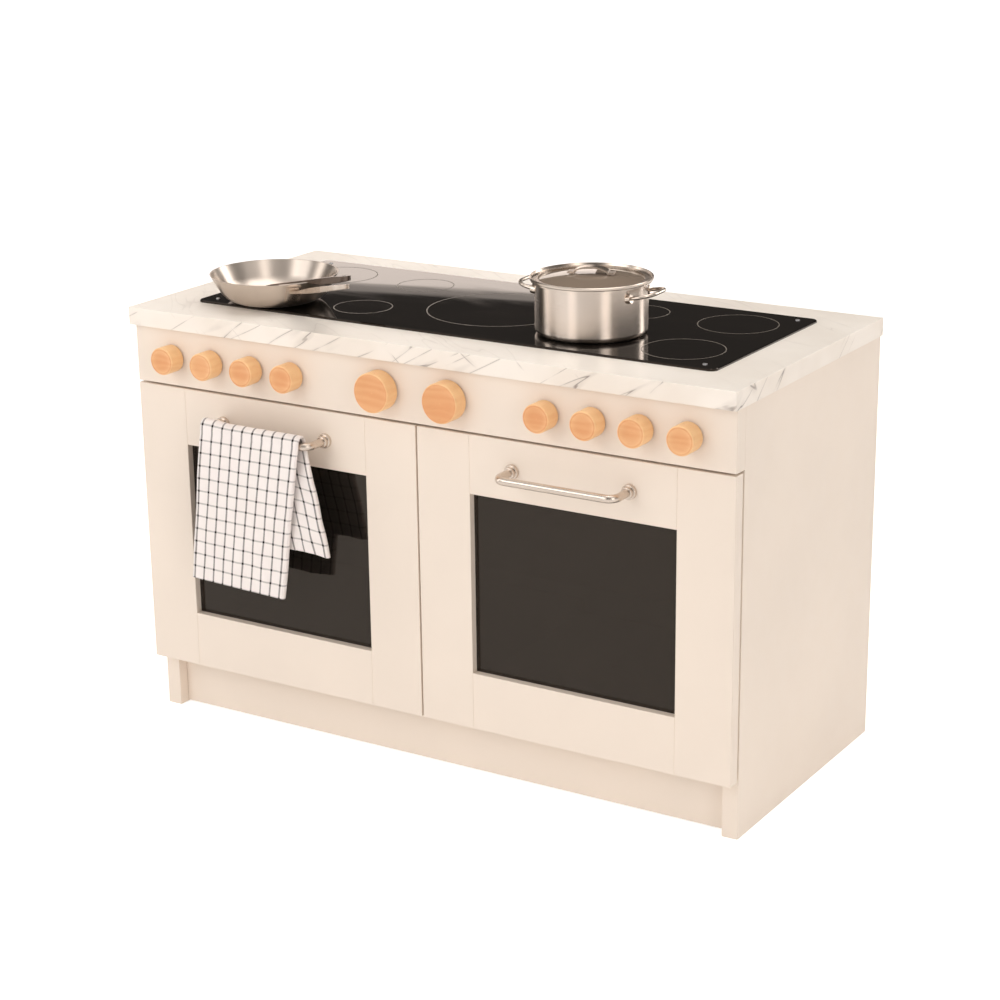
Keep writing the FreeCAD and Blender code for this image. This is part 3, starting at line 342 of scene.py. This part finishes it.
def wood(name, pale, dark, along, ring_scale, end_shade=0.0):
    """Hardwood: soft rings along the grain and short flecks. end_shade darkens the faces turned to -Y."""
    material, tree, shader = new_material(name)
    at = place(tree)
    grain = stretched(tree, at, along)
    bands = add(
        tree,
        "ShaderNodeTexWave",
        {"Vector": grain, "Scale": ring_scale, "Distortion": 9.0, "Detail": 2.5, "Detail Scale": 0.9},
        wave_type="BANDS",
        bands_direction="Z",
    ).outputs["Fac"]
    broad = uneven(tree, grain, 22.0, 0.0, 1.0)
    rings = maths(tree, "ADD", maths(tree, "MULTIPLY", bands, 0.4), maths(tree, "MULTIPLY", broad, 0.6))
    pores = noise_at(tree, stretched(tree, grain, (1.0, 1.0, 4.0)), 420.0)
    flecks = remap(tree, pores, 0.6, 0.72, 0.0, 0.16)
    end = remap(tree, facing(tree, "Y"), -0.99, -0.86, end_shade, 0.0)
    ring_shade = remap(tree, rings, 0.1, 0.9, 0.0, 0.2)
    tone = blend_colours(tree, maths(tree, "ADD", ring_shade, end), pale, dark)
    connect(tree, shader, {
        "Base Color": blend_colours(tree, flecks, tone, darker(dark, 0.68)),
        "Roughness": remap(tree, rings, 0.0, 1.0, 0.42, 0.55),
        "Specular IOR Level": 0.4,
        "Normal": bump(tree, maths(tree, "SUBTRACT", rings, flecks), 0.00005, 0.4),
    })
    return material


def steel(name, tone, roughness, brush, depth=0.00002, anisotropic=0.0):
    """Brushed or polished steel: brush stretches the fine scratches, and depth is how deep they are.

    A turned piece is brushed round its axis. anisotropic draws its highlights out upwards to match.
    The scratches and smudges add 0.09 to the roughness on average, which is taken off again.
    """
    material, tree, shader = new_material(name)
    at = place(tree)
    round_piece = add(tree, "ShaderNodeTangent", direction_type="RADIAL", axis="Z").outputs["Tangent"]
    scratches = noise_at(tree, stretched(tree, at, brush), 1.0, detail=4.0)
    smudges = noise_at(tree, at, 26.0)
    scratched = maths(tree, "MULTIPLY", scratches, 0.10)
    wear = maths(tree, "ADD", scratched, maths(tree, "MULTIPLY", smudges, 0.08))
    connect(tree, shader, {
        "Base Color": tone,
        "Metallic": 1.0,
        "Roughness": maths(tree, "ADD", wear, roughness - 0.09),
        "Anisotropic": anisotropic,
        "Anisotropic Rotation": 0.25,  # a quarter turn from the brushing
        "Tangent": round_piece,
        "Normal": bump(tree, scratches, depth, 0.6),
    })
    return material


def black_glass():
    """The hob's gloss black plate, with a faint film of wiping marks."""
    material, tree, shader = new_material("hob_black_glass")
    at = place(tree)
    wipes = noise_at(tree, stretched(tree, at, (6.0, 26.0, 6.0)), 1.0, detail=4.0, distortion=1.2)
    film = remap(tree, wipes, 0.4, 0.8, 0.0, 1.0)
    connect(tree, shader, {
        "Base Color": blend_colours(tree, film, colour(15, 13, 11), colour(21, 18, 15)),
        "Roughness": remap(tree, wipes, 0.35, 0.75, 0.010, 0.030),
        "Specular IOR Level": 0.5,
        "Specular Tint": colour(240, 220, 204),
    })
    return material


def tinted_acrylic():
    """Dark see-through oven windows: gloss, very slightly rippled."""
    material, tree, shader = new_material("tinted_acrylic")
    at = place(tree)
    connect(tree, shader, {
        "Base Color": blend_colours(tree, noise_at(tree, at, 8.0), colour(26, 23, 21), colour(33, 29, 26)),
        "Roughness": uneven(tree, at, 30.0, 0.03, 0.07),
        "Alpha": 0.86,
        "Specular Tint": colour(255, 236, 218),
        "Normal": bump(tree, noise_at(tree, at, 4.0, detail=1.0), 0.0006, 0.35),
    })
    return material


def clear_glass():
    """The lid's thin glass: see-through from above, and darker and more mirror-like from the side."""
    material, tree, shader = new_material("lid_clear_glass")
    at = place(tree)
    grazing = add(tree, "ShaderNodeLayerWeight", {"Blend": 0.5}).outputs["Facing"]
    connect(tree, shader, {
        # painted reflection: the clear glass is given a brown it doesn't have, more opaque towards grazing
        # angles, in place of what it reflects
        "Base Color": colour(146, 130, 115),
        "Roughness": remap(tree, noise_at(tree, at, 40.0), 0.4, 0.8, 0.01, 0.03),
        "Specular IOR Level": 0.5,
        "Alpha": remap(tree, grazing, 0.1, 0.75, 0.2, 0.85),
    })
    return material


def printed_grey():
    """The screen-printed ring lines, slightly broken by wear."""
    material, tree, shader = new_material("hob_print_grey")
    wear = remap(tree, noise_at(tree, place(tree), 260.0), 0.3, 0.75, 0.0, 1.0)
    connect(tree, shader, {
        "Base Color": blend_colours(tree, wear, colour(132, 124, 115), colour(98, 92, 85)),
        "Roughness": 0.35,
    })
    return material


def plastic(name, tone, roughness, grain=600.0):
    """Moulded plastic or rubber with a fine grain."""
    material, tree, shader = new_material(name)
    at = place(tree)
    connect(tree, shader, {
        "Base Color": blend_colours(tree, noise_at(tree, at, 20.0), darker(tone, 0.92), tone),
        "Roughness": uneven(tree, at, 45.0, roughness - 0.06, roughness + 0.06),
        "Normal": bump(tree, noise_at(tree, at, grain), 0.00004, 0.5),
    })
    return material


def stripe(tree, coordinate, pitch, width, soft):
    """1 on evenly spaced lines and 0 between them."""
    within = maths(tree, "PINGPONG", coordinate, pitch / 2)
    return remap(tree, within, width / 2, width / 2 + soft, 1.0, 0.0)


def checked_cotton():
    """Plain-weave cotton with a dark windowpane check: darker lines along it, greyer ones across it."""
    material, tree, shader = new_material("checked_cotton")
    flat = add(tree, "ShaderNodeUVMap", uv_map="flat").outputs["UV"]
    split = add(tree, "ShaderNodeSeparateXYZ", {"Vector": flat})
    across, along = split.outputs["X"], split.outputs["Y"]
    yarn = noise_at(tree, stretched(tree, flat, (YARNS_PER_METRE, YARNS_PER_METRE, 1.0)), 1.0, detail=2.0)
    wobble = maths(tree, "MULTIPLY", maths(tree, "SUBTRACT", yarn, 0.5), LINE_WOBBLE)
    from_start = maths(tree, "SUBTRACT", across, CHECK_START)
    warp = maths(tree, "SINE", maths(tree, "MULTIPLY", across, math.tau / WEAVE_SIZE))
    weft = maths(tree, "SINE", maths(tree, "MULTIPLY", along, math.tau / WEAVE_SIZE))
    weave = maths(tree, "MULTIPLY", warp, weft)
    speckle = remap(tree, weave, -0.9, 0.5, 0.62, 1.0)
    amount = 0.0
    for place_on, line, pitch, darkness in zip(
        (maths(tree, "SUBTRACT", from_start, wobble), maths(tree, "ADD", along, wobble)),
        CHECK_LINE,
        CHECK_PITCH,
        CHECK_DARKNESS,
    ):
        drawn = maths(tree, "MULTIPLY", stripe(tree, place_on, pitch, line, LINE_SOFTNESS), speckle)
        amount = maths(tree, "MAXIMUM", amount, maths(tree, "MULTIPLY", drawn, darkness))
    dot_columns = stripe(tree, from_start, CHECK_PITCH[0], CHECK_DOT, DOT_SOFTNESS)
    dot_rows = stripe(tree, along, CHECK_PITCH[1], CHECK_DOT, DOT_SOFTNESS)
    amount = maths(tree, "MAXIMUM", amount, maths(tree, "MULTIPLY", dot_columns, dot_rows))
    mottle = noise_at(tree, stretched(tree, flat, (30.0, 30.0, 1.0)), 1.0)
    ground = blend_colours(tree, mottle, colour(244, 235, 231), colour(251, 244, 241))
    connect(tree, shader, {
        "Base Color": blend_colours(tree, amount, ground, colour(34, 29, 29)),
        "Roughness": 0.92,
        "Specular IOR Level": 0.15,
        "Sheen Weight": 0.18,
        "Sheen Roughness": 0.5,
        "Normal": bump(tree, maths(tree, "ADD", weave, yarn), 0.00012, 0.55),
    })
    return material


def dress(material, *names):
    """Give CAD nodes one material."""
    for name in names:
        data = NODES[name].data
        data.materials.clear()
        data.materials.append(material)
        for face in data.polygons:
            face.material_index = 0


def dress_cad():
    """Every CAD node's material. Only the towel's node has none, because a cloth replaces it."""
    sides = ("left", "right")
    cream = colour(241, 227, 213)
    door_boards = [
        side + "_door_" + part
        for side in sides
        for part in ("outer_stile", "inner_stile", "top_rail", "bottom_rail", "window_beads")
    ]
    dress(
        paint("cream_paint", cream, 0.42),
        "side_panel_left", "side_panel_right", "plinth", "control_fascia", *door_boards,
    )
    dress(
        paint("inner_board", colour(232, 218, 202), 0.55),
        "centre_divider", "base_panel", "oven_roof_panel", "back_panel", "front_top_rail", "rear_top_rail",
        "oven_shelf_left", "oven_shelf_right",
    )
    dress(marble(), "worktop")
    dress(black_glass(), "hob_glass")
    dress(tinted_acrylic(), *[side + "_door_window" for side in sides])
    dress(
        wood("beech", colour(250, 205, 152), colour(222, 148, 96), (0.35, 0.5, 1.0), 34.0, end_shade=0.62),
        *["knob_%02d" % number for number in range(1, 11)],
    )
    dress(
        wood("dowel_wood", colour(226, 196, 150), colour(204, 168, 120), (1.0, 4.0, 4.0), 30.0),
        "carcass_dowels",
    )
    dress(
        steel("satin_steel", colour(216, 203, 191), 0.27, (2600.0, 2600.0, 2600.0), 0.000002),
        "left_door_handle", "right_door_handle", "pot_handles", "lid_rim", "lid_handle", "pan_handle",
    )
    dress(steel("pot_steel", colour(224, 211, 200), 0.25, (14.0, 14.0, 2600.0), 0.000006, 0.9), "pot_body")
    dress(steel("pan_steel", colour(210, 198, 187), 0.31, (60.0, 60.0, 2400.0), 0.000002, 0.7), "pan_body")
    dress(steel("dark_steel", colour(112, 100, 92), 0.32, (90.0, 90.0, 500.0)), "turner")
    zinc = steel("zinc_steel", colour(205, 205, 208), 0.30, (300.0, 300.0, 300.0))
    dress(
        zinc,
        "hob_screws", "carcass_screws", "shelf_pins", "hinge_base_leaves", "hinge_pins",
        *[side + "_door_" + part for side in sides for part in ("screws", "hinge_leaves")],
    )
    dress(clear_glass(), "lid_glass")
    dress(plastic("white_plastic", colour(236, 232, 226), 0.5), "magnetic_catches", "knob_spindles")
    dress(plastic("grey_rubber", colour(128, 124, 120), 0.75, 300.0), "door_bumpers")


# ---- Hob rings ----
def ring_strip(mesh, centre, radius, low, high):
    """A closed flat ring: four circles of points joined all round."""
    loops = []
    for step in range(RING_STEPS):
        turn = math.tau * step / RING_STEPS
        out = Vector((math.cos(turn), math.sin(turn), 0.0))
        corners = []
        for reach, height in (
            (radius - RING_WIDTH / 2, low),
            (radius + RING_WIDTH / 2, low),
            (radius + RING_WIDTH / 2, high),
            (radius - RING_WIDTH / 2, high),
        ):
            corners.append(mesh.verts.new(centre + out * reach + Vector((0.0, 0.0, height))))
        loops.append(corners)
    for here, there in zip(loops, loops[1:] + loops[:1]):
        for side in range(4):
            following = (side + 1) % 4
            mesh.faces.new((here[side], there[side], there[following], here[following]))


def hob_rings():
    """The rings printed on the hob, as very thin raised lines."""
    low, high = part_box("hob_glass")
    middle = (low + high) / 2
    mesh = bmesh.new()
    for x, y, radius in [MIDDLE_RING] + INNER_RINGS + OUTER_RINGS:
        centre = Vector((middle.x + x, middle.y + y, 0.0))
        ring_strip(mesh, centre, radius, high.z - RING_LIFT, high.z + RING_LIFT)
    bmesh.ops.recalc_face_normals(mesh, faces=mesh.faces)
    data = bpy.data.meshes.new("hob_rings")
    mesh.to_mesh(data)
    mesh.free()
    piece = new_object("hob_rings", data)
    data.materials.append(printed_grey())
    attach(piece, "cabinet")


# ---- Towel ----
def bar_line():
    """Depth and height of the left handle's bar, from the handle's own box."""
    low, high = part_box("left_door_handle")
    return low.y + BAR_RADIUS, (low.z + high.z) / 2


def eased(value):
    """0 below 0, 1 above 1 and a smooth rise between."""
    held = min(1.0, max(0.0, value))
    return held * held * (3.0 - 2.0 * held)


def fall_shape(distance, bunch):
    """(depth, height, share) of the outer layer, relative to the bar, at a distance from the front hem.

    share runs from -1 at the front hem, through 0 over the bar, to 1 at the back hem. bunch is how much
    further back the cloth reaches behind the bar.
    """
    if distance < FRONT_DROP:
        down = FRONT_DROP - distance
        return -ARCH_REACH, -down, -down / FRONT_DROP
    if distance < FRONT_DROP + ARCH_LENGTH:
        turn = math.pi * (distance - FRONT_DROP) / ARCH_LENGTH
        reach = ARCH_REACH + bunch * eased(2.0 * turn / math.pi - 1.0)
        rise = ARCH_RISE + BUNCH_RISE * bunch / BUNCH_REACH
        return -reach * math.cos(turn), rise * math.sin(turn) ** ARCH_CURVE, 0.0
    down = distance - FRONT_DROP - ARCH_LENGTH
    share = min(1.0, down / BACK_DROP)
    return ARCH_REACH + bunch * (1.0 - eased(BUNCH_FADES * share)), -down, share


def layer_offset(across, share):
    """(share across the folded towel, how far in from the outer surface) for a place across the flat cloth.

    The outer layer runs from the left edge to the right, turns in a fold that opens out below the bar,
    and comes back as the inner layer.
    """
    fold = FOLD_RADIUS + FOLD_OPENING * min(1.0, FOLD_OPENS * abs(share))
    turn_length = math.pi * fold
    outer = LAYER_WIDTH - turn_length / 2
    if across < outer:
        return across / LAYER_WIDTH, 0.0
    if across < outer + turn_length:
        turn = (across - outer) / fold
        return (outer + fold * math.sin(turn)) / LAYER_WIDTH, fold * (1.0 - math.cos(turn))
    return (outer - (across - outer - turn_length)) / LAYER_WIDTH, 2 * fold


def towel_edges(share):
    """Left and right edges of the folded towel: the front hangs to the left and the back to the right."""
    hem = FRONT_EDGES if share < 0 else BACK_EDGES
    amount = abs(share) ** EDGE_CURVE
    return [top + (low - top) * amount for top, low in zip(TOP_EDGES, hem)]


def ripple_at(x, share, ripple):
    """One ripple's height at a place on the towel."""
    per_metre, per_fall, slice_place, depth = ripple
    return noise.noise(Vector((x * per_metre, per_fall * share, slice_place))) * depth


def towel_point(across, along, bar_y, bar_z):
    """Where a point of the flat cloth hangs: across from its left edge, and along from its front hem."""
    past_fold = max(0.0, (across - LAYER_WIDTH) / LAYER_WIDTH)
    inner = eased(INNER_EASE * past_fold)
    along -= INNER_SHIFT * inner
    share_across = layer_offset(across, 0.0)[0]
    bunch = BUNCH_REACH * eased(1.0 - BUNCH_ENDS * share_across)
    depth, height, share = fall_shape(along, bunch)
    share_across, inward = layer_offset(across, share)
    left, right = towel_edges(share)
    x = left + (right - left) * share_across
    if share < 0:
        height -= HEM_SAG * share_across * share * share
    outward = Vector((0.0, depth, max(0.0, height))).normalized()
    ripple = sum(ripple_at(x, share, each) for each in RIPPLES)
    ripple += ripple_at(x, share, INNER_RIPPLE) * inner
    ripple *= RIPPLE_AT_BAR + (1.0 - RIPPLE_AT_BAR) * min(1.0, RIPPLE_GROWS * abs(share))
    point = Vector((0.0, depth, height)) + outward * (ripple - inward)
    return Vector((x, bar_y + point.y, bar_z + point.z))


def towel():
    bar_y, bar_z = bar_line()
    data = bpy.data.meshes.new("towel_cloth")
    points, faces, flat = [], [], []
    width = 2 * LAYER_WIDTH
    for row in range(ALONG_STEPS + 1):
        along = TOWEL_LENGTH * row / ALONG_STEPS
        for column in range(ACROSS_STEPS + 1):
            across = width * column / ACROSS_STEPS
            points.append(towel_point(across, along, bar_y, bar_z))
            flat.append((across, along))
    stride = ACROSS_STEPS + 1
    for row in range(ALONG_STEPS):
        for column in range(ACROSS_STEPS):
            corner = row * stride + column
            faces.append((corner, corner + 1, corner + 1 + stride, corner + stride))
    data.from_pydata([tuple(point) for point in points], [], faces)
    uvs = data.uv_layers.new(name="flat")
    for loop in data.loops:
        uvs.data[loop.index].uv = flat[loop.vertex_index]
    data.shade_smooth()
    piece = new_object("towel_cloth", data)
    data.materials.append(checked_cotton())
    thick = piece.modifiers.new("cloth", "SOLIDIFY")
    thick.thickness = CLOTH_THICKNESS
    thick.offset = 0.0
    apply_modifiers(piece)
    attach(piece, "towel_body")
    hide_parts("towel")
    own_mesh(piece)


# ---- Studio ----
def floor():
    """A plain floor that lights the kitchen softly, and that the camera sees as clear white."""
    corners = [(x * FLOOR_HALF, y * FLOOR_HALF, 0.0) for x, y in ((-1, -1), (1, -1), (1, 1), (-1, 1))]
    data = bpy.data.meshes.new("floor")
    data.from_pydata(corners, [], [(0, 1, 2, 3)])
    piece = new_object("floor", data)
    material, tree, shader = new_material("floor_white")
    seen = add(tree, "ShaderNodeLightPath").outputs["Is Camera Ray"]
    connect(tree, shader, {
        "Base Color": (0.9, 0.9, 0.9, 1.0),
        "Roughness": 0.9,
        "Emission Color": WHITE,
        "Emission Strength": remap(tree, seen, 0.0, 1.0, FLOOR_GLOW, FLOOR_GLOW_SEEN),
    })
    data.materials.append(material)


def facing_share(tree, angle, towards, half_width):
    """1 where a direction's angle is near a given one, and 0 well away from it."""
    apart = maths(tree, "PINGPONG", maths(tree, "SUBTRACT", angle, math.radians(towards)), math.pi)
    near, far = (math.radians(half_width * share) for share in SIDE_FADE)
    return remap(tree, apart, near, far, 1.0, 0.0)


def world():
    """Soft light from all round, which the camera itself sees as plain white.

    Tall panels stand round the kitchen for the steel to reflect. A low band, brightest behind the kitchen,
    is there for the hob to reflect.
    """
    made = bpy.data.worlds.new("studio")
    bpy.context.scene.world = made
    made.use_nodes = True
    tree = made.node_tree
    background = tree.nodes["Background"]
    way = add(tree, "ShaderNodeTexCoord").outputs["Generated"]
    split = add(tree, "ShaderNodeSeparateXYZ", {"Vector": way})
    height = split.outputs["Z"]
    angle = maths(tree, "ARCTAN2", split.outputs["Y"], split.outputs["X"])
    turns = [math.radians(turn) for turn in BAND_TURNS]
    above = maths(tree, "SUBTRACT", height, remap(tree, angle, *turns, *BAND_TOPS, smooth=False))
    bright = remap(tree, above, -DIM_EDGE - BAND_BLUR, -DIM_EDGE + BAND_BLUR, 1.0, DIM_LEVEL)
    low_band = maths(tree, "MULTIPLY", bright, remap(tree, above, -BAND_BLUR, BAND_BLUR, 1.0, 0.0))
    before_gap = maths(tree, "LESS_THAN", angle, math.radians(BAND_GAP[0]))
    after_gap = maths(tree, "GREATER_THAN", angle, math.radians(BAND_GAP[1]))
    low_band = maths(tree, "MULTIPLY", low_band, maths(tree, "ADD", before_gap, after_gap))
    behind = facing_share(tree, angle, *BAND_BEHIND)
    band = maths(tree, "ADD", BAND_STRENGTH, maths(tree, "MULTIPLY", behind, BAND_EXTRA))
    strength = maths(tree, "ADD", WALL_STRENGTH, maths(tree, "MULTIPLY", low_band, band))
    for towards, half_width, panel_strength in PANELS:
        fading = remap(tree, height, *PANEL_FADE, panel_strength, 0.0)
        panel = maths(tree, "MULTIPLY", facing_share(tree, angle, towards, half_width), fading)
        strength = maths(tree, "ADD", strength, panel)
    overhead = remap(tree, height, *CEILING_FADE, 0.0, CEILING_STRENGTH)
    seen = add(tree, "ShaderNodeLightPath").outputs["Is Camera Ray"]
    tone = blend_colours(tree, behind, WORLD_TONE, BAND_TONE)
    light = maths(tree, "ADD", strength, overhead)
    lighting = maths(tree, "MULTIPLY", light, maths(tree, "SUBTRACT", 1.0, seen))
    connect(tree, background, {
        "Color": blend_colours(tree, seen, tone, WHITE),
        "Strength": maths(tree, "ADD", lighting, seen),
    })


def soft_light(name, place_at, size, power, tone):
    """A rectangular light that shines on the middle of the kitchen."""
    light = bpy.data.lights.new(name, "AREA")
    light.shape = "RECTANGLE"
    light.size, light.size_y = size
    light.energy = power
    light.color = tone
    piece = new_object(name, light)
    piece.location = place_at
    aim = Vector(LIGHTS_AIM) - Vector(place_at)
    piece.rotation_euler = aim.to_track_quat("-Z", "Y").to_euler()


def lights():
    """The studio's three lights."""
    for light in LIGHTS:
        soft_light(*light)


def camera():
    """The camera, looking at the kitchen's front and right side from a little above."""
    back = Vector((
        math.sin(CAMERA_AZIMUTH) * math.cos(CAMERA_ELEVATION),
        -math.cos(CAMERA_AZIMUTH) * math.cos(CAMERA_ELEVATION),
        math.sin(CAMERA_ELEVATION),
    ))
    data = bpy.data.cameras.new("camera")
    data.lens = CAMERA_LENS
    data.sensor_width = CAMERA_SENSOR
    data.shift_x, data.shift_y = CAMERA_SHIFT
    piece = new_object("camera", data)
    turn = (-back).to_track_quat("-Z", "Y").to_matrix().to_4x4()
    piece.matrix_world = Matrix.Translation(CAMERA_PLACE) @ turn @ Matrix.Rotation(CAMERA_ROLL, 4, "Z")
    bpy.context.scene.camera = piece


dress_cad()
hob_rings()
towel()
floor()
world()
lights()
camera()
bpy.context.scene.view_settings.view_transform = "Standard"
